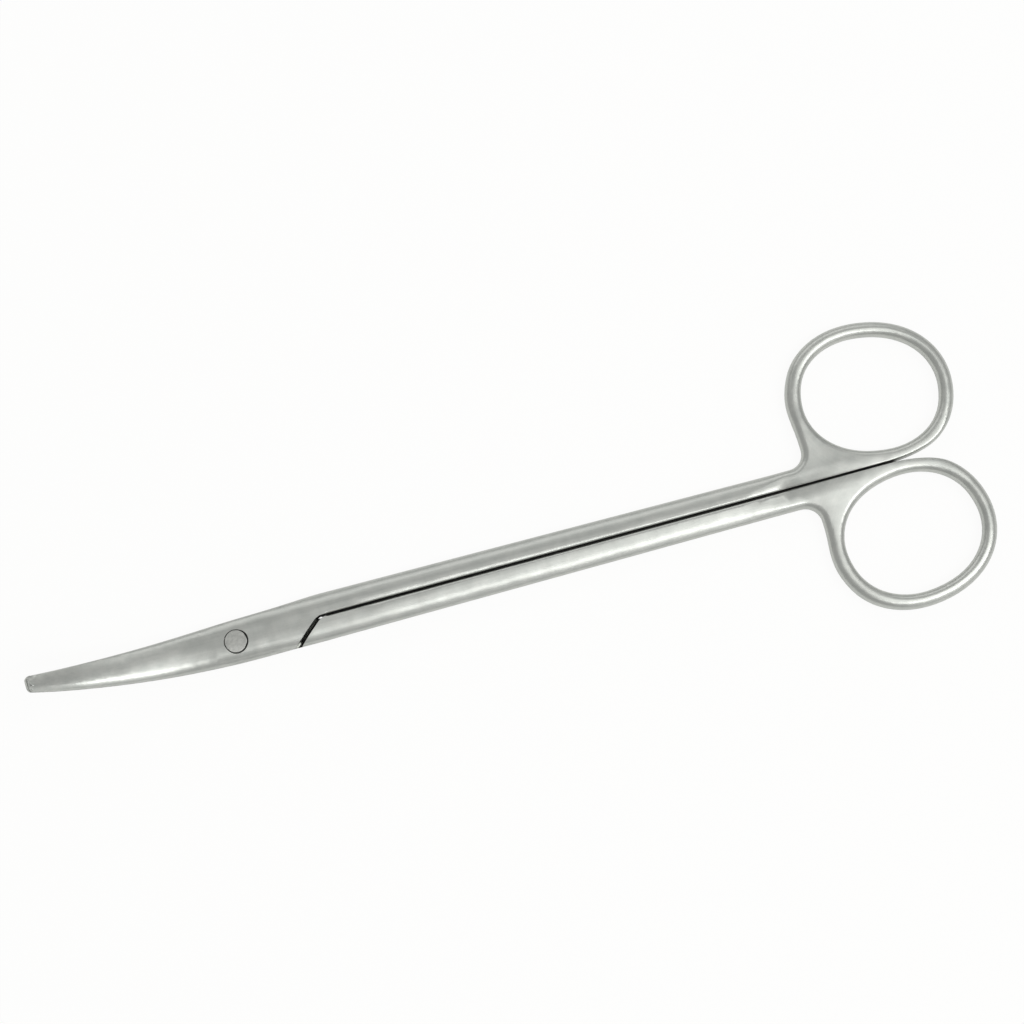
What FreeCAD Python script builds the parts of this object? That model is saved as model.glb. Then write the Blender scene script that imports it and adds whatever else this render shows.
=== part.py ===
"""Dissecting scissors with curved blades and ring handles: two forged halves and a flush rivet.

The origin is on the rivet's axis, at the underside of the joint. +X runs from the rivet to the
rings, +Y to the thumb ring, and +Z up through the joint. The blades curve upwards. Both halves are
cut from one blank, the form of the closed scissors, and share its skin. The functions measure y from
the gap between the shanks, which passes a little to the thumb's side of the rivet; the finished
solids are then moved onto the rivet's axis.
"""
import FreeCAD, Part
import math
import os

V = FreeCAD.Vector

# Joint
JOINT_HEIGHT = 3.9
JOINT_PLAY = 0.02
JOINT_X = 2.0
JOINT_HALF_WIDTH = 4.2
JOINT_STEPS = 3
RIVET_ASIDE = 0.38
BLADE_ASIDE = 0.22

# Blades: the curve's start and the tip have sizes of their own
CURVE_START = -3.4
CURVE_RADIUS = 48.0
BLADE_REACH = 37.2
BLADE_RELIEF = 0.08
START_HALF_WIDTH = 3.97
START_EDGE_HEIGHT = 1.84
TIP_HALF_WIDTH = 1.45
TIP_BACK_HEIGHT = 1.1
TIP_EDGE_HEIGHT = 0.42
TIP_ROUNDING = 0.85
TIP_SIDE_ROUNDING = 0.6
NOSE_FLARE = 0.3

# Reaches of a blade section's corners, across the blade and along its side
START_BACK_CORNER = (3.2, 1.8)
TIP_BACK_CORNER = (1.7, 1.0)
START_EDGE_CORNER = (2.9, 1.3)
TIP_EDGE_CORNER = (0.18, 0.15)

# What each blade section has of the way from the start's sizes to the tip's: its place on the
# curve, then its width, back height, edge height, back corner and edge corner
BLADE_STATIONS = (
    (1.0, 1.0, 1.0, 1.0, 1.0, 1.0),
    (0.74, 0.7, 0.65, 0.93, 0.8, 0.94),
    (0.47, 0.41, 0.32, 0.75, 0.47, 0.76),
    (0.21, 0.16, 0.08, 0.38, 0.16, 0.38),
    (0.0, 0.0, 0.0, 0.0, 0.0, 0.0),
)

# Shanks
SHOULDER_X = 16.3
SHOULDER_RUN = 5.1
SHOULDER_RISE = 4.4
SHOULDER_GAP = 0.5
SHOULDER_ROUNDING = 1.0
SHANK_GAP = 0.4
SHANK_START_X = 18.0
SHANK_START_HALF_WIDTH = 4.45
SHANK_END_HALF_WIDTH = 3.9
SHANK_END_ASIDE = 0.2
CROWN_REACH = 3.2
CROWN_SHARE = 0.46
CROWN_RUN_OUT = 9.0
EDGE_ROUNDING = 1.45
INNER_BEVEL = 0.3

# Rings
HANDLE_HEIGHT = 3.2
RING_GAP = 0.36
RING_X = 127.3
RING_HOLE_LONG = 13.1
RING_HOLE_SHORT = 11.2
RING_TILT = math.radians(-10.4)
RING_SQUARENESS = 2.15
RING_WALL = 2.76
WEB_WALL = 2.55
NECK_WALL = 2.66
NECK_RADIUS = 3.2
NECK_STRAIGHT = 1.0
RING_STEM = 5.0
HEEL_SWELL = 0.4
HEEL_TOP = 3.2
HEEL_BOTTOM = 1.0
HOLE_ROUNDING = 1.25
FLAT_SHORTFALL = 1.1
FLAT_RUN_OUT = 3.5

# The ring's outside follows control points at steps round the hole, which lie a little outside it
RIM_POLE_LIFT = 0.14
RIM_STEP = 15
RIM_FIRST = 310
RIM_LAST = 520

# Rivet
RIVET_RADIUS = 1.4
RIVET_BORE_PLAY = 0.04
HEAD_RADIUS = 2.08
HEAD_PLAY = 0.12
HEAD_HEIGHT = 0.9
HEAD_SEAT_PLAY = 0.02
TAIL_RADIUS = 1.95
TAIL_HEIGHT = 0.6
RIM_BEVEL = 0.1

# A rounding stays within these shares of the height or the wall that it is on
MOST_OF_HEIGHT = 0.47
MOST_OF_WALL = 0.51
MOST_OF_WALL_INSIDE = 0.44

# A corner's weight that makes it a quarter circle where its reaches are equal
QUARTER_WEIGHT = math.sqrt(0.5)

MIDDLE = JOINT_HEIGHT / 2
TIP_ANGLE = math.asin((BLADE_REACH + CURVE_START) / CURVE_RADIUS)
PAST_TIP_ANGLE = TIP_ANGLE * 1.2
NOSE_BLOCK = TIP_HALF_WIDTH * 4
NOSE_DEPTH = TIP_HALF_WIDTH * 6
RING_Y = RING_GAP / 2 + WEB_WALL + RING_HOLE_SHORT
NECK_X = RING_X - RING_HOLE_LONG - NECK_WALL
SHANK_END_X = NECK_X - RING_STEM
FLAT_END_X = RING_X - FLAT_SHORTFALL
CROWN_END_X = SHANK_END_X - CROWN_RUN_OUT
HANDLE_ROUNDING = min(EDGE_ROUNDING, HANDLE_HEIGHT * MOST_OF_HEIGHT, RING_WALL * MOST_OF_WALL)
RING_HOLE_ROUNDING = min(HOLE_ROUNDING, HANDLE_HEIGHT * MOST_OF_HEIGHT, RING_WALL * MOST_OF_WALL_INSIDE)
FAR = BLADE_REACH * 2
NEAR = 1e-6


def corner(before, at, after, reach_in, reach_out):
    """A rounded corner at a point, tangent to the lines from the point before and to the next."""
    start = at + (before - at).normalize() * reach_in
    end = at + (after - at).normalize() * reach_out
    curve = Part.BezierCurve()
    curve.setPoles([start, at, end])
    curve.setWeight(2, QUARTER_WEIGHT)
    return start, end, curve.toShape()


def rounded_wire(points, reaches):
    """A closed wire through corner points; each corner has its reach in and out, or None if sharp."""
    count = len(points)
    starts, ends, arcs = [], [], []
    for k, at in enumerate(points):
        if reaches[k] is None:
            starts.append(at)
            ends.append(at)
            arcs.append(None)
            continue
        start, end, arc = corner(points[k - 1], at, points[(k + 1) % count], *reaches[k])
        starts.append(start)
        ends.append(end)
        arcs.append(arc)
    edges = []
    for k in range(count):
        if arcs[k]:
            edges.append(arcs[k])
        edges.append(Part.makeLine(ends[k], starts[(k + 1) % count]))
    return Part.Wire(edges)


def prism(wire, along):
    return Part.Face(wire).extrude(along)


def on_blade(angle, across, above):
    """A point at an angle round the blade's curve, across its middle line and above its middle surface."""
    radius = CURVE_RADIUS - above
    x = CURVE_START - radius * math.sin(angle)
    z = MIDDLE + CURVE_RADIUS - radius * math.cos(angle)
    return V(x, across - BLADE_ASIDE, z)


def on_shank(station, across, above):
    """A point at a station (x and how far the middle line lies aside), across it and above the middle."""
    x, aside = station
    return V(x, across - aside, MIDDLE + above)


def section(place, station, half, up, down, back, edge):
    """The closed scissors' section: up is (back, edge) height above the middle, down the same below.

    back and edge are the corners' reaches, (across, along the side). The thumb half's back is at -Y.
    """
    across = [(-half, -down[1]), (half, -down[0]), (half, up[1]), (-half, up[0])]
    points = [place(station, y, z) for y, z in across]
    back_in, back_out = back
    edge_in, edge_out = edge
    reaches = [(edge_out, edge_in), (back_in, back_out), (edge_out, edge_in), (back_in, back_out)]
    return rounded_wire(points, reaches)


def between(first, last, share):
    return first + (last - first) * share


def corner_between(first, last, share):
    return tuple(between(a, b, share) for a, b in zip(first, last))


def blade_section(place, narrowed, back_lowered, edge_lowered, back_share, edge_share):
    half = between(START_HALF_WIDTH, TIP_HALF_WIDTH, narrowed)
    back_height = between(MIDDLE, TIP_BACK_HEIGHT, back_lowered)
    edge_height = between(START_EDGE_HEIGHT, TIP_EDGE_HEIGHT, edge_lowered)
    back = corner_between(START_BACK_CORNER, TIP_BACK_CORNER, back_share)
    edge = corner_between(START_EDGE_CORNER, TIP_EDGE_CORNER, edge_share)
    heights = (back_height, edge_height)
    return section(on_blade, place * TIP_ANGLE, half, heights, heights, back, edge)


def shank_section(station, half, height, rounding):
    up = height - MIDDLE
    return section(on_shank, station, half, (up, up), (MIDDLE, MIDDLE), rounding, rounding)


def crowned_section(station, half, height):
    """A section whose outer sides are drawn out to long ovals."""
    return shank_section(station, half, height, (CROWN_REACH, height * CROWN_SHARE))


def joint_section(share):
    """A section of the joint, which widens smoothly from the blades to the shanks."""
    eased = share * share * (3 - 2 * share)
    x = between(JOINT_X, SHANK_START_X, share)
    half = between(JOINT_HALF_WIDTH, SHANK_START_HALF_WIDTH, eased)
    return crowned_section((x, between(BLADE_ASIDE, 0, eased)), half, JOINT_HEIGHT)


def shank_size(x):
    """The closed shanks' station, half width and height, which taper from the joint to the rings."""
    share = (x - SHANK_START_X) / (SHANK_END_X - SHANK_START_X)
    half = between(SHANK_START_HALF_WIDTH, SHANK_END_HALF_WIDTH, share)
    return (x, SHANK_END_ASIDE * share), half, between(JOINT_HEIGHT, HANDLE_HEIGHT, share)


def blank():
    """The closed scissors from the blunt tip to the rings, as one body."""
    sections = [blade_section(*station) for station in BLADE_STATIONS]
    joint = [joint_section(step / JOINT_STEPS) for step in range(JOINT_STEPS + 1)]
    start = crowned_section(*shank_size(SHANK_START_X))
    crown_end = crowned_section(*shank_size(CROWN_END_X))
    end = shank_section(*shank_size(SHANK_END_X), (HANDLE_ROUNDING, HANDLE_ROUNDING))
    blades = Part.makeLoft(sections + joint, True, False)
    shanks = Part.makeLoft([start, crown_end, end], True, True)
    blades = blades.cut(nose_waste(nose_in_plan())).cut(nose_waste(nose_from_the_side()))
    return blades.fuse(shanks)


def at_tip(forward, across, above):
    """A point in the tip's own directions: forward out of it, across, and above the middle surface."""
    forwards = V(-math.cos(TIP_ANGLE), 0, math.sin(TIP_ANGLE))
    upwards = V(math.sin(TIP_ANGLE), 0, math.cos(TIP_ANGLE))
    return on_blade(TIP_ANGLE, across, 0) + forwards * forward + upwards * above


def nose_waste(nose):
    """The block round the tip, less the nose: what is ground off."""
    size = NOSE_BLOCK
    back = -TIP_HALF_WIDTH
    corners = [(back, -size), (size, -size), (size, size), (back, size)]
    wire = Part.makePolygon([at_tip(f, a, -size) for f, a in corners + corners[:1]])
    return prism(wire, at_tip(0, 0, size) - at_tip(0, 0, -size)).cut(nose)


def nose_in_plan():
    """All that lies behind a blunt nose with two rounded corners, seen square to the tip."""
    size = NOSE_DEPTH
    half = TIP_HALF_WIDTH
    spread = half + size * NOSE_FLARE
    corners = [(-size, -spread), (0, -half), (0, half), (-size, spread)]
    points = [at_tip(forward, across, -size) for forward, across in corners]
    reach = (TIP_ROUNDING, TIP_ROUNDING)
    wire = rounded_wire(points, [None, reach, reach, None])
    return prism(wire, at_tip(0, 0, size) - at_tip(0, 0, -size))


def nose_from_the_side():
    """All that lies behind a nose with rounded upper and lower corners, seen from the side."""
    size = NOSE_DEPTH
    top = TIP_BACK_HEIGHT
    spread = top + size * NOSE_FLARE
    corners = [(-size, -spread), (0, -top), (0, top), (-size, spread)]
    points = [at_tip(forward, -size, above) for forward, above in corners]
    reach = (TIP_SIDE_ROUNDING, TIP_SIDE_ROUNDING)
    wire = rounded_wire(points, [None, reach, reach, None])
    return prism(wire, V(0, 2 * size, 0))


def layer(floor, relief, outward):
    """What lies on one side of the sliding faces: flat at the joint, curved along the blades."""
    radius = CURVE_RADIUS - relief * outward
    centre = V(CURVE_START, -FAR, MIDDLE + CURVE_RADIUS)

    def round_the_curve(angle):
        return centre + V(-math.sin(angle), 0, -math.cos(angle)) * radius

    start = round_the_curve(0)
    middle = round_the_curve(PAST_TIP_ANGLE / 2)
    end = round_the_curve(PAST_TIP_ANGLE)
    level = MIDDLE + floor
    far_z = MIDDLE + FAR * outward
    points = [V(end.x, -FAR, far_z), V(FAR, -FAR, far_z), V(FAR, -FAR, level), V(CURVE_START, -FAR, level)]
    edges = [Part.makeLine(end, points[0])]
    edges += [Part.makeLine(points[k], points[k + 1]) for k in range(3)]
    edges.append(Part.makeLine(points[3], start))
    edges.append(Part.Arc(start, middle, end).toShape())
    return prism(Part.Wire(edges), V(0, 2 * FAR, 0))


def shoulder_x(y, offset):
    """Where the shoulder's slanted line, moved along the shank by an offset, has a height y."""
    slant = math.hypot(SHOULDER_RUN, SHOULDER_RISE) / SHOULDER_RISE
    return SHOULDER_X - abs(y) * SHOULDER_RUN / SHOULDER_RISE + offset * slant


def layer_in_plan():
    """The thumb half's joint and blade layer, seen from above: all of it left of its shoulder."""
    inner = SHANK_GAP / 2
    y_low = -FAR
    points = [
        V(shoulder_x(y_low, -SHOULDER_GAP / 2), y_low, 0),
        V(shoulder_x(inner, -SHOULDER_GAP / 2), inner, 0),
        V(FAR / 2, inner, 0),
        V(FAR / 2, FAR, 0),
        V(-FAR, FAR, 0),
        V(-FAR, y_low, 0),
    ]
    reach = (SHOULDER_ROUNDING, SHOULDER_ROUNDING)
    return prism(rounded_wire(points, [None, reach, None, None, None, None]), V(0, 0, FAR))


def shank_in_plan():
    """The thumb half's shank, seen from above: right of the lower shoulder, on its side of the gap."""
    inner = SHANK_GAP / 2
    points = [
        V(shoulder_x(FAR, SHOULDER_GAP / 2), FAR, 0),
        V(shoulder_x(inner, SHOULDER_GAP / 2), inner, 0),
        V(SHANK_END_X, RING_GAP / 2, 0),
        V(SHANK_END_X, FAR, 0),
    ]
    reach = (SHOULDER_ROUNDING, SHOULDER_ROUNDING)
    return prism(rounded_wire(points, [None, reach, None, None]), V(0, 0, FAR))


def hole_point(angle):
    """A point of the ring's hole: a slightly squared oval, turned so that its heel lies outward."""
    c = math.cos(angle)
    s = math.sin(angle)
    along = RING_HOLE_LONG * math.copysign(abs(c) ** (2 / RING_SQUARENESS), c)
    aside = RING_HOLE_SHORT * math.copysign(abs(s) ** (2 / RING_SQUARENESS), s)
    x = RING_X + along * math.cos(RING_TILT) - aside * math.sin(RING_TILT)
    y = RING_Y + along * math.sin(RING_TILT) + aside * math.cos(RING_TILT)
    return V(x, y, 0)


def rim_pole(angle):
    """A control point of the ring's outside, one wall out from the hole, thicker at the heel."""
    step = 0.01
    tangent = hole_point(angle + step) - hole_point(angle - step)
    outward = V(tangent.y, -tangent.x, 0).normalize()
    heel = max(0.0, -math.cos(angle))
    return hole_point(angle) + outward * (RING_WALL + RIM_POLE_LIFT + HEEL_SWELL * heel**2)


def rim_curve(outer):
    """The ring's outside, from the end of the flat gap face round to the neck above the shank's outside."""
    inner = RING_GAP / 2
    neck_top = outer + NECK_RADIUS + NECK_STRAIGHT
    poles = [V(FLAT_END_X, inner, 0), V(FLAT_END_X + FLAT_RUN_OUT, inner, 0)]
    poles += [rim_pole(math.radians(degrees)) for degrees in range(RIM_FIRST, RIM_LAST + 1, RIM_STEP)]
    poles += [
        V(NECK_X - HEEL_SWELL, RING_Y + HEEL_TOP, 0),
        V(NECK_X - HEEL_SWELL, RING_Y - HEEL_BOTTOM, 0),
        V(NECK_X, neck_top + NECK_STRAIGHT * 2, 0),
        V(NECK_X, neck_top, 0),
    ]
    curve = Part.BSplineCurve()
    curve.buildFromPoles(poles, False, 3)
    return curve


def ring_hole():
    hole = Part.BSplineCurve()
    points = [hole_point(math.radians(degrees)) for degrees in range(0, 360, RIM_STEP)]
    hole.interpolate(Points=points, PeriodicFlag=True)
    return prism(Part.Wire([hole.toShape()]), V(0, 0, HANDLE_HEIGHT))


def is_upright_at(edge, x, y):
    ends = [v.Point for v in edge.Vertexes]
    return len(ends) == 2 and all(abs(p.x - x) + abs(p.y - y) < NEAR for p in ends)


def rounded(solid, radii_of):
    """The solid with its edges rounded; radii_of gives an edge's first and last radius, or None."""
    document = FreeCAD.newDocument("rounding")
    base = document.addObject("Part::Feature", "base")
    base.Shape = solid
    rows = []
    for number, edge in enumerate(base.Shape.Edges, start=1):
        radii = radii_of(edge)
        if radii:
            rows.append((number,) + radii)
    result = document.addObject("Part::Fillet", "rounded")
    result.Base = base
    result.Edges = rows
    document.recompute()
    shape = result.Shape.copy()
    FreeCAD.closeDocument(document.Name)
    return shape


def ring_edge_radii(edge):
    """Full rounding round the ring and shank, a small bevel along the gap, growing between them."""
    middle = edge.valueAt((edge.FirstParameter + edge.LastParameter) / 2)
    if edge.BoundBox.ZLength > NEAR or edge.isClosed() or abs(middle.x - SHANK_END_X) < NEAR:
        return None
    if abs(middle.y - RING_GAP / 2) < NEAR:
        return (INNER_BEVEL, INNER_BEVEL)
    starts_at_gap = abs(edge.valueAt(edge.FirstParameter).y - RING_GAP / 2) < NEAR
    if starts_at_gap:
        return (INNER_BEVEL, HANDLE_ROUNDING)
    return (HANDLE_ROUNDING, HANDLE_ROUNDING)


def ring_end(outer):
    """A ring and web at +Y, with the last stretch of shank before them, out to the shank's outside."""
    inner = RING_GAP / 2
    curve = rim_curve(outer)
    knots = curve.getKnots()
    swell_end = knots[3]
    edges = [
        Part.makeLine(V(SHANK_END_X, inner, 0), V(FLAT_END_X, inner, 0)),
        curve.toShape(knots[0], swell_end),
        curve.toShape(swell_end, knots[-1]),
        Part.makeLine(curve.EndPoint, V(NECK_X, outer, 0)),
        Part.makeLine(V(NECK_X, outer, 0), V(SHANK_END_X, outer, 0)),
        Part.makeLine(V(SHANK_END_X, outer, 0), V(SHANK_END_X, inner, 0)),
    ]
    solid = prism(Part.Wire(edges), V(0, 0, HANDLE_HEIGHT))
    neck = [e for e in solid.Edges if is_upright_at(e, NECK_X, outer)]
    solid = solid.makeFillet(NECK_RADIUS, neck).cut(ring_hole())
    solid = rounded(solid, ring_edge_radii)
    hole_edges = [e for e in solid.Edges if e.isClosed() and e.Length > RING_HOLE_LONG]
    return solid.makeFillet(RING_HOLE_ROUNDING, hole_edges)


def mirrored(shape):
    """The same shape on the other side of the gap."""
    return shape.mirror(V(0, 0, 0), V(0, 1, 0))


def half_in_plan(layer_body, in_plan, shank):
    return layer_body.common(in_plan).fuse(shank)


def bevel_cutter(start_level, end_level, outward):
    """A long V along the gap that bevels both shanks' inner edges, above or below them."""
    sections = []
    for x, gap, level in (
        (SHOULDER_X + SHOULDER_ROUNDING, SHANK_GAP, start_level),
        (SHANK_END_X, RING_GAP, end_level),
    ):
        mouth = gap / 2 + INNER_BEVEL
        root = level - mouth * outward
        spread = mouth * 2
        top = root + spread * outward
        corners = [V(x, 0, root), V(x, spread, top), V(x, -spread, top)]
        sections.append(Part.makePolygon(corners + corners[:1]))
    return Part.makeLoft(sections, True, True)


def forged_half(closed_form, region, end):
    """One half, cut out of the closed form, with its bevels and its ring."""
    body = closed_form.common(region)
    for cutter in (bevel_cutter(JOINT_HEIGHT, HANDLE_HEIGHT, 1), bevel_cutter(0, 0, -1)):
        body = body.cut(cutter)
    return body.fuse(end)


def disc(radius, bottom, top):
    return Part.makeCylinder(radius, top - bottom, V(0, -RIVET_ASIDE, bottom))


def cone(bottom_radius, top_radius, bottom, height):
    return Part.makeCone(bottom_radius, top_radius, height, V(0, -RIVET_ASIDE, bottom))


def tail():
    return cone(TAIL_RADIUS, RIVET_RADIUS, 0, TAIL_HEIGHT)


def rivet(closed_form):
    """A head in the thumb half, a shank through both and a spread tail, ground flush above and below."""
    head = disc(HEAD_RADIUS, JOINT_HEIGHT - HEAD_HEIGHT, JOINT_HEIGHT - RIM_BEVEL)
    crown = cone(HEAD_RADIUS, HEAD_RADIUS - RIM_BEVEL, JOINT_HEIGHT - RIM_BEVEL, RIM_BEVEL)
    shank = disc(RIVET_RADIUS, 0, JOINT_HEIGHT - HEAD_HEIGHT / 2)
    return head.fuse([crown, shank, tail()]).common(closed_form).removeSplitter()


def bored_thumb_half(body):
    """The thumb half with the running bore and the head's seat."""
    bore = disc(RIVET_RADIUS + RIVET_BORE_PLAY, 0, JOINT_HEIGHT)
    seat = disc(HEAD_RADIUS + HEAD_PLAY, JOINT_HEIGHT - HEAD_HEIGHT - HEAD_SEAT_PLAY, 2 * JOINT_HEIGHT)
    lip_radius = HEAD_RADIUS + HEAD_PLAY
    lip = cone(lip_radius, lip_radius + RIM_BEVEL, JOINT_HEIGHT - RIM_BEVEL, RIM_BEVEL)
    return body.cut(bore.fuse([seat, lip]))


def bored_finger_half(body):
    """The finger half with the tight bore, opened below for the spread tail."""
    bore = disc(RIVET_RADIUS, 0, JOINT_HEIGHT)
    return body.cut(bore.fuse(tail()))


def scissors():
    closed_form = blank()
    thumb_end = ring_end(SHANK_END_HALF_WIDTH - SHANK_END_ASIDE)
    finger_end = mirrored(ring_end(SHANK_END_HALF_WIDTH + SHANK_END_ASIDE))
    plan = layer_in_plan()
    shank = shank_in_plan()
    upper = layer(JOINT_PLAY, BLADE_RELIEF, 1)
    lower = layer(0, BLADE_RELIEF, -1)
    thumb = forged_half(closed_form, half_in_plan(upper, plan, shank), thumb_end)
    finger = forged_half(closed_form, half_in_plan(lower, mirrored(plan), mirrored(shank)), finger_end)
    pieces = {
        "thumb_half": bored_thumb_half(thumb),
        "finger_half": bored_finger_half(finger),
        "joint_rivet": rivet(closed_form),
    }
    for piece in pieces.values():
        piece.translate(V(0, RIVET_ASIDE, 0))
    return pieces


def write_parts():
    os.makedirs("parts", exist_ok=True)
    for name, shape in scissors().items():
        print(name, "valid" if shape.isValid() else "NOT VALID", len(shape.Solids), round(shape.Volume, 3))
        shape.exportStep(f"parts/{name}.step")


write_parts()
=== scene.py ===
"""Dissecting scissors in satin steel, lying closed on a white ground under soft studio light.

Everything is in metres. The origin is on the rivet's axis at the joint's underside, +X runs to the
rings, +Y to the thumb ring and +Z up.
"""
import math

import bpy
from mathutils import Matrix, Vector


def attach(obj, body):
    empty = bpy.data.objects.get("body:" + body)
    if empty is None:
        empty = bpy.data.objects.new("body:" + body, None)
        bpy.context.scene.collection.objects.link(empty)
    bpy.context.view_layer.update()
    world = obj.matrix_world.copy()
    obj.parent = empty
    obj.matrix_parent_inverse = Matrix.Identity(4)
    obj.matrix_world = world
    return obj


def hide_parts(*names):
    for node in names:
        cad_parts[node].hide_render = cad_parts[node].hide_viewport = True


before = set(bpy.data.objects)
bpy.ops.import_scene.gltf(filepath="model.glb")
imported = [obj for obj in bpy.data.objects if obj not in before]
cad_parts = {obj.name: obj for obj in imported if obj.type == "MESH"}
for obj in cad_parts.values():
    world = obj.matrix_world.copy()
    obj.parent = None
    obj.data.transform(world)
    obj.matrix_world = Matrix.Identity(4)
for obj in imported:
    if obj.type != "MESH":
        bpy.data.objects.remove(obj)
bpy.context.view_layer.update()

MM = 0.001

# The camera looks down on the scissors, tilted a little towards the finger ring's side
LOOK_AT = Vector((55.97, 10.67, 0.0)) * MM
CAMERA_DISTANCE = 475 * MM
CAMERA_TILT = math.radians(11.8)
CAMERA_SIDE = math.radians(-102.8)
CAMERA_ROLL = math.radians(15.38)
LENS = 88.55

# The scissors' own places, in millimetres, for the finishes
JOINT_MIDDLE = 1.95
GAP_Y = 0.38
SHANK_WALL = 0.22
SHOULDER_X = 16.3
SHOULDER_RUN = 5.1
SHOULDER_RISE = 4.4
SHOULDER_SLOPE = SHOULDER_RUN / SHOULDER_RISE
SHOULDER_LEAN = SHOULDER_RISE / math.hypot(SHOULDER_RUN, SHOULDER_RISE)
SHOULDER_WALL = 0.27
SHOULDER_BEND = 1.0
SHOULDER_START = 10.0
SHOULDER_END = 18.0
# Seat radius and the widths of the painted shade ring round the rivet's seat and along the gaps
SEAT_RADIUS = 2.14
SEAT_LINE = 0.1
SEAT_SHADE_WIDENING = 0.14
WALL_FADE = 0.04
JOINT_X = 2.0
SHANK_START_X = 18.0
JOINT_HALF_WIDTH = 4.2
SHANK_HALF_WIDTH = 4.45
BLADE_TAPER = 0.043
BLADE_ASIDE = 0.22
CROWN_REACH = 3.2
CROWN_RISE = 1.794
CROWN_START = -4.6
CROWN_FADE_START = 22.0
CROWN_END = 27.0
CURVE_START = -3.4
CURVE_RADIUS = 48.0
RING_X = 127.3
RING_Y = 13.93
RING_START = 104.0
RING_FULL = 116.0

# Soft boxes: place and sides in metres, the long side's slant in degrees, and how bright each looks
SOFT_BOXES = (
    ("overhead_box", (0.46, -0.03, 1.1), (0.8, 0.5), 0.0, 1.3),
    ("front_box", (0.56, -0.48, 1.0), (1.1, 0.4), 12.0, 3.5),
    ("low_box", (0.65, -1.1, 0.6), (1.2, 0.7), 0.0, 0.5),
    ("back_box", (0.1, 1.0, 0.7), (1.4, 0.5), 0.0, 0.8),
)
BOX_AIM = Vector((0.08, 0.0, 0.0))
WORLD_GREY = 0.475
WHITE_SEEN = 0.93
WHITE_MIRRORED = 0.4

# The steels' colours and finishes
SKIN_DARK = (0.50, 0.52, 0.49, 1.0)
SKIN_LIGHT = (0.60, 0.61, 0.575, 1.0)
# Painted shade colour for the narrow gaps, the shoulder slot and the rivet's seat
PAINTED_SHADE_COLOUR = (0.06, 0.06, 0.056, 1.0)
SLOT_ROUGHNESS = 0.7
SKIN_ROUGHNESS = 0.28
GROUND_ROUGHNESS = 0.2
RIVET_DARK = (0.40, 0.41, 0.385, 1.0)
RIVET_LIGHT = (0.56, 0.565, 0.535, 1.0)
RIVET_ROUGHNESS = 0.38
BELT_DEPTH = 0.004 * MM
WAVER_DEPTH = 0.25 * MM
PIT_DEPTH = 0.02 * MM
SMOOTH_ANGLE = math.radians(28)
MERGE_DISTANCE = 0.0005 * MM
EDGE_SOFTNESS = 0.12 * MM
FLOOR_SIZE = 4.0
FLOOR_DROP = 0.02 * MM


def clear_selection():
    bpy.ops.object.select_all(action="DESELECT")


def pick(piece):
    clear_selection()
    piece.select_set(True)
    bpy.context.view_layer.objects.active = piece


class Field:
    """A number or a vector that varies over a surface; Python's operators add the maths nodes."""

    def __init__(self, finish, socket):
        self.finish = finish
        self.socket = socket

    def maths(self, operation, *values):
        return self.finish.node("ShaderNodeMath", values, operation=operation)

    def __add__(self, other):
        return self.maths("ADD", self, other)

    def __radd__(self, other):
        return self.maths("ADD", other, self)

    def __sub__(self, other):
        return self.maths("SUBTRACT", self, other)

    def __rsub__(self, other):
        return self.maths("SUBTRACT", other, self)

    def __mul__(self, other):
        return self.maths("MULTIPLY", self, other)

    def __rmul__(self, other):
        return self.maths("MULTIPLY", other, self)

    def __truediv__(self, other):
        return self.maths("DIVIDE", self, other)

    def __abs__(self):
        return self.maths("ABSOLUTE", self)

    def root(self):
        return self.maths("SQRT", self)

    def sign(self):
        return self.maths("SIGN", self)

    def largest(self, other):
        return self.maths("MAXIMUM", self, other)

    def step(self, low, high):
        """0 below low, 1 above high, smooth between."""
        values = (self, low, high)
        return self.finish.node("ShaderNodeMapRange", values, interpolation_type="SMOOTHSTEP")


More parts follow.
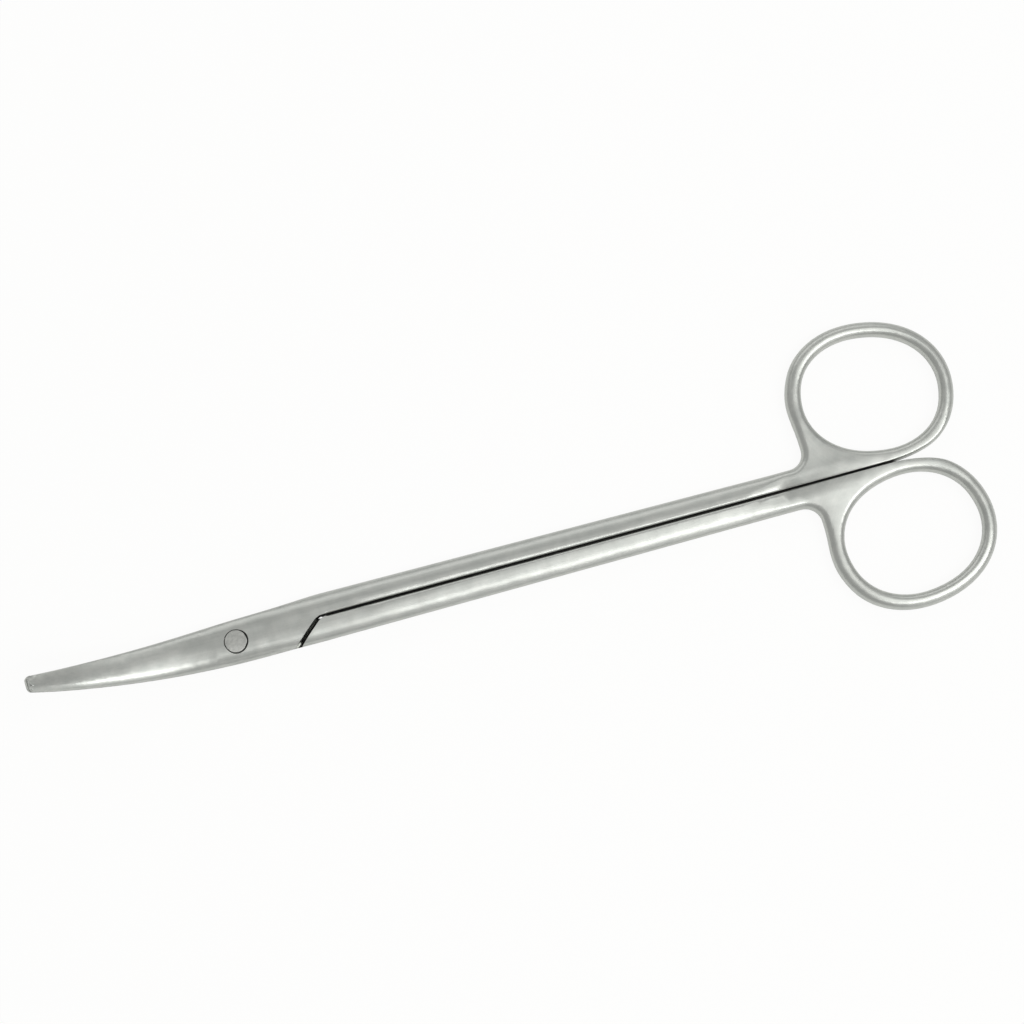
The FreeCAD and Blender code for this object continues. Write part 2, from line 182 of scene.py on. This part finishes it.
class Finish:
    """A surface's node tree, with one method that adds any node."""

    def __init__(self, name):
        self.material = bpy.data.materials.new(name)
        self.material.use_nodes = True
        self.tree = self.material.node_tree
        self.tree.nodes.clear()
        self.surface = self.tree.nodes.new("ShaderNodeBsdfPrincipled")
        self.output = self.tree.nodes.new("ShaderNodeOutputMaterial")
        self.skin = Field(self, self.surface.outputs[0])
        self.put(self.output.inputs["Surface"], self.skin)

    def put(self, socket, value):
        if isinstance(value, Field):
            self.tree.links.new(value.socket, socket)
        else:
            socket.default_value = value

    def node(self, kind, values=(), output=0, **settings):
        """Adds a node. values are its inputs in order, or a dict by name; None leaves one as it is."""
        node = self.tree.nodes.new(kind)
        for key, value in settings.items():
            setattr(node, key, value)
        named = values.items() if isinstance(values, dict) else enumerate(values)
        for key, value in named:
            if value is not None:
                self.put(node.inputs[key], value)
        return Field(self, node.outputs[output])

    def shader(self, **values):
        for key, value in values.items():
            self.put(self.surface.inputs[key.replace("_", " ")], value)

    def place_mm(self):
        """The surface's own place, in millimetres."""
        where = self.node("ShaderNodeTexCoord", output="Object")
        return self.node("ShaderNodeVectorMath", {0: where, "Scale": 1 / MM}, operation="SCALE")

    def apart(self, vector):
        return [self.node("ShaderNodeSeparateXYZ", (vector,), output=axis) for axis in range(3)]

    def together(self, x, y, z):
        return self.node("ShaderNodeCombineXYZ", (x, y, z))

    def noise(self, vector, scale, detail=3.0, roughness=0.55):
        values = {"Vector": vector, "Scale": scale, "Detail": detail, "Roughness": roughness}
        return self.node("ShaderNodeTexNoise", values)

    def vector_mix(self, share, first, second):
        values = {0: share, 4: first, 5: second}
        return self.node("ShaderNodeMix", values, output=1, data_type="VECTOR")

    def colour_mix(self, share, first, second):
        values = {0: share, 6: first, 7: second}
        return self.node("ShaderNodeMix", values, output=2, data_type="RGBA")

    def mix(self, share, first, second):
        return first + (second - first) * share

    def bump(self, height, depth, normal=None):
        """A bump whose height runs from 0 to 1 over a depth in metres."""
        values = {"Height": height, "Distance": depth, "Strength": 1.0, "Normal": normal}
        return self.node("ShaderNodeBump", values)


def ring_grain(finish, x, y, z):
    """Streaks that run round each ring, as a polishing belt leaves them."""
    along = x - RING_X
    aside = abs(y - GAP_Y) - RING_Y
    radius = (along * along + aside * aside).root()
    turn = 1.6
    across = radius * 2.6 + z * 1.7
    return finish.noise(finish.together(along / radius * turn, aside / radius * turn, across), 1.0, 4.0)


def shank_grain(finish, x, y, z):
    """Streaks that run along shanks and blades."""
    return finish.noise(finish.together(x * 0.05, y * 2.6, z * 2.6), 1.0, 4.0)


def painted_slot_shade(finish, x, y, z):
    """1 where shade is painted: inside the narrow gaps, along the shoulder slot and its bend, and in a ring
    round the rivet's seat that widens to one side; 0 on the skin.
    """
    aside = y - GAP_Y
    rise = z - JOINT_MIDDLE
    past_shoulder = x.step(SHOULDER_END - 3.0, SHOULDER_END)
    shank_gap = (1 - abs(aside).step(SHANK_WALL, SHANK_WALL + WALL_FADE)) * past_shoulder
    flat = 1 - abs(rise).step(0.03, 0.04)
    lapped = finish.mix(flat, aside * rise.sign() * -1, abs(aside))
    from_shoulder = abs(x - SHOULDER_X + lapped * SHOULDER_SLOPE) * SHOULDER_LEAN
    in_reach = x.step(SHOULDER_START, SHOULDER_START + 0.2) * lapped.step(-0.3, -0.1)
    shoulder = (1 - from_shoulder.step(SHOULDER_WALL, SHOULDER_WALL + WALL_FADE)) * in_reach
    facet = finish.node("ShaderNodeNewGeometry", output="True Normal")
    upright = 1 - abs(finish.apart(facet)[2]).step(0.2, 0.4)
    from_bend = ((x - SHOULDER_X) * (x - SHOULDER_X) + aside * aside).root()
    bend = upright.largest(flat) * (1 - from_bend.step(SHOULDER_BEND - 0.1, SHOULDER_BEND))
    from_axis = (x * x + y * y).root()
    # Painted shade: the dark ring round the rivet's seat is widened towards one side
    shade_side = ((x - y) / from_axis).step(-0.4, 0.7)
    from_seat = from_axis - SEAT_RADIUS
    inside = from_seat.step(-SEAT_LINE, WALL_FADE - SEAT_LINE)
    seat = inside * (1 - (from_seat - shade_side * SEAT_SHADE_WIDENING).step(SEAT_LINE / 2, SEAT_LINE))
    return shank_gap.largest(shoulder).largest(bend).largest(seat * abs(rise).step(0.3, 0.4))


def skin_normal(finish, x, y, z, own):
    """The normal of the joint's drawn-out ovals, free of the long thin facets round seat and shoulder."""
    widened = x.step(JOINT_X, SHANK_START_X)
    half = finish.mix(widened, JOINT_HALF_WIDTH, SHANK_HALF_WIDTH) - (JOINT_X - x).largest(0) * BLADE_TAPER
    across = y - GAP_Y - (1 - widened) * BLADE_ASIDE
    turn = ((abs(across) - half) / CROWN_REACH + 1).largest(0)
    steep = across.sign() * turn * CROWN_RISE
    level = (z - JOINT_MIDDLE).sign() * (1 - turn * turn).largest(0.001).root() * CROWN_REACH
    leaning = finish.together(0.0, steep, level)
    spaces = {"vector_type": "NORMAL", "convert_from": "OBJECT", "convert_to": "WORLD"}
    turned = finish.node("ShaderNodeVectorTransform", (leaning,), **spaces)
    exact = finish.node("ShaderNodeVectorMath", (turned,), operation="NORMALIZE")
    facet = finish.node("ShaderNodeNewGeometry", output="True Normal")
    agreement = finish.node("ShaderNodeVectorMath", (exact, facet), output="Value", operation="DOT_PRODUCT")
    in_reach = x.step(CROWN_START, CURVE_START) * (1 - x.step(CROWN_FADE_START, CROWN_END))
    return finish.vector_mix(agreement.step(0.9, 0.96) * in_reach, own, exact)


def sliding_face(finish, x, z):
    """1 on the flats and blade faces that slide on each other, 0 elsewhere."""
    rise = z - JOINT_MIDDLE
    from_centre = rise - CURVE_RADIUS
    run = x - CURVE_START
    radius = (run * run + from_centre * from_centre).root()
    curved = 1 - abs(radius - CURVE_RADIUS).step(0.1, 0.14)
    flat = 1 - abs(rise).step(0.03, 0.06)
    before = 1 - x.step(CURVE_START - 0.1, CURVE_START + 0.1)
    ends = 1 - x.step(SHOULDER_END, SHOULDER_END + 0.5)
    return finish.mix(before, flat, curved) * ends


def satin_steel():
    """Fine satin finish: belt streaks, a faint mottle and a soft waver of the forged form, with shade
    painted near black in the gaps, slot and rivet seat.
    """
    finish = Finish("satin_steel")
    place = finish.place_mm()
    x, y, z = finish.apart(place)
    on_ring = x.step(RING_START, RING_FULL)
    grain = finish.mix(on_ring, shank_grain(finish, x, y, z), ring_grain(finish, x, y, z))
    fine = finish.noise(place, 5.5, 2.0)
    mottle = finish.noise(place, 0.45, 3.0)
    waver = finish.noise(place, 0.11, 2.0)
    ground = sliding_face(finish, x, z)
    lines = finish.noise(finish.together(x * 7.0, y * 0.12, z * 0.12), 1.0, 3.0)

    painted_shade = painted_slot_shade(finish, x, y, z)
    shade = grain * 0.30 + mottle * 0.45 + fine * 0.25
    skin = finish.colour_mix(shade.step(0.3, 0.7), SKIN_DARK, SKIN_LIGHT)
    # Painted shade: the gaps, shoulder slot and bend, and a ring round the rivet's seat are coloured near
    # black
    colour = finish.colour_mix(painted_shade, skin, PAINTED_SHADE_COLOUR)
    belted = SKIN_ROUGHNESS + grain * 0.1 + mottle * 0.06
    polish = finish.mix(ground, belted, GROUND_ROUGHNESS + lines * 0.14)
    rough = finish.mix(painted_shade, polish, SLOT_ROUGHNESS)
    softened = finish.node("ShaderNodeBevel", (EDGE_SOFTNESS,), samples=6)
    exact = skin_normal(finish, x, y, z, softened)
    belt = finish.bump(finish.mix(ground, grain * 0.7 + fine * 0.3, lines), BELT_DEPTH, exact)
    formed = finish.bump(waver, WAVER_DEPTH, belt)
    finish.shader(Base_Color=colour, Roughness=rough, Normal=formed, Metallic=1.0)
    return finish.material


def rivet_steel():
    """The rivet's head and tail, ground flush and left a little rougher and blotched."""
    finish = Finish("rivet_steel")
    place = finish.place_mm()
    x, y, z = finish.apart(place)
    blotch = finish.noise(place, 1.5, 4.0, 0.65)
    fine = finish.noise(place, 6.5, 3.0)
    shade = blotch * 0.7 + fine * 0.3
    colour = finish.colour_mix(shade.step(0.3, 0.68), RIVET_DARK, RIVET_LIGHT)
    rough = RIVET_ROUGHNESS + blotch * 0.18
    softened = finish.node("ShaderNodeBevel", (EDGE_SOFTNESS,), samples=6)
    exact = skin_normal(finish, x, y, z, softened)
    pitted = finish.bump(blotch * 0.6 + fine * 0.4, PIT_DEPTH, exact)
    finish.shader(Base_Color=colour, Roughness=rough, Normal=pitted, Metallic=1.0)
    return finish.material


def white_ground():
    """Plain pale floor that looks white and keeps a soft shadow."""
    finish = Finish("white_ground")
    finish.shader(Base_Color=(0.9, 0.9, 0.89, 1.0), Roughness=0.9)
    seen = finish.node("ShaderNodeLightPath", output="Is Camera Ray")
    mirrored = finish.node("ShaderNodeLightPath", output="Is Glossy Ray")
    glow = finish.node("ShaderNodeEmission", {"Color": (1.0, 1.0, 0.995, 1.0)})
    share = seen * WHITE_SEEN + mirrored * WHITE_MIRRORED
    mixed = finish.node("ShaderNodeMixShader", (share, finish.skin, glow))
    finish.put(finish.output.inputs["Surface"], mixed)
    return finish.material


def add_floor():
    clear_selection()
    bpy.ops.mesh.primitive_plane_add(size=FLOOR_SIZE, location=(LOOK_AT.x, LOOK_AT.y, -FLOOR_DROP))
    floor = bpy.context.active_object
    floor.name = "floor"
    bpy.ops.object.mode_set(mode="EDIT")
    bpy.ops.mesh.subdivide(number_cuts=3)
    bpy.ops.object.mode_set(mode="OBJECT")
    bpy.ops.object.transform_apply(location=True, rotation=True, scale=True)
    floor.data.materials.append(white_ground())


def add_world():
    world = bpy.data.worlds.new("studio")
    bpy.context.scene.world = world
    world.use_nodes = True
    nodes = world.node_tree.nodes
    links = world.node_tree.links
    nodes.clear()
    room = nodes.new("ShaderNodeBackground")
    room.inputs["Color"].default_value = (WORLD_GREY, WORLD_GREY, WORLD_GREY, 1.0)
    white = nodes.new("ShaderNodeBackground")
    white.inputs["Color"].default_value = (1.0, 1.0, 1.0, 1.0)
    path = nodes.new("ShaderNodeLightPath")
    mixed = nodes.new("ShaderNodeMixShader")
    output = nodes.new("ShaderNodeOutputWorld")
    links.new(path.outputs["Is Camera Ray"], mixed.inputs[0])
    links.new(room.outputs[0], mixed.inputs[1])
    links.new(white.outputs[0], mixed.inputs[2])
    links.new(mixed.outputs[0], output.inputs["Surface"])


def add_soft_boxes():
    for name, place, sides, slant, brightness in SOFT_BOXES:
        lamp = bpy.data.lights.new(name, "AREA")
        lamp.shape = "RECTANGLE"
        lamp.size = sides[0]
        lamp.size_y = sides[1]
        lamp.energy = brightness * math.pi * sides[0] * sides[1]
        box = bpy.data.objects.new(name, lamp)
        bpy.context.scene.collection.objects.link(box)
        away = (Vector(place) - BOX_AIM).normalized()
        heading = Vector((math.cos(math.radians(slant)), math.sin(math.radians(slant)), 0.0))
        along = (heading - away * heading.dot(away)).normalized()
        turned = Matrix((along, away.cross(along), away)).transposed().to_4x4()
        box.matrix_world = Matrix.Translation(Vector(place)) @ turned
        box.visible_camera = False


def add_camera():
    data = bpy.data.cameras.new("camera")
    data.lens = LENS
    data.sensor_width = 36
    data.clip_start = 0.01
    camera = bpy.data.objects.new("camera", data)
    bpy.context.scene.collection.objects.link(camera)
    flat = math.sin(CAMERA_TILT)
    towards = Vector((flat * math.cos(CAMERA_SIDE), flat * math.sin(CAMERA_SIDE), math.cos(CAMERA_TILT)))
    upward = Vector((math.sin(CAMERA_ROLL), math.cos(CAMERA_ROLL), 0.0))
    right = upward.cross(towards).normalized()
    above = towards.cross(right)
    turned = Matrix((right, above, towards)).transposed().to_4x4()
    camera.matrix_world = Matrix.Translation(LOOK_AT + towards * CAMERA_DISTANCE) @ turned
    bpy.context.scene.camera = camera


def polished_piece(node, name, body, material):
    """A merged copy of a forging whose skin shades smoothly from face to face."""
    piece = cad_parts[node].copy()
    piece.data = piece.data.copy()
    piece.name = name
    for key in list(piece.keys()):
        del piece[key]
    bpy.context.scene.collection.objects.link(piece)
    pick(piece)
    bpy.ops.object.mode_set(mode="EDIT")
    bpy.ops.mesh.select_all(action="SELECT")
    bpy.ops.mesh.remove_doubles(threshold=MERGE_DISTANCE)
    bpy.ops.object.mode_set(mode="OBJECT")
    bpy.ops.object.shade_smooth_by_angle(angle=SMOOTH_ANGLE)
    piece.data.materials.clear()
    piece.data.materials.append(material)
    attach(piece, body)
    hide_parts(node)


bpy.context.scene.view_settings.view_transform = "Standard"
add_camera()
add_world()
add_soft_boxes()
add_floor()
steel = satin_steel()
polished_piece("thumb_half", "thumb_half_polished", "thumb_side", steel)
polished_piece("finger_half", "finger_half_polished", "finger_side", steel)
polished_piece("joint_rivet", "joint_rivet_polished", "finger_side", rivet_steel())
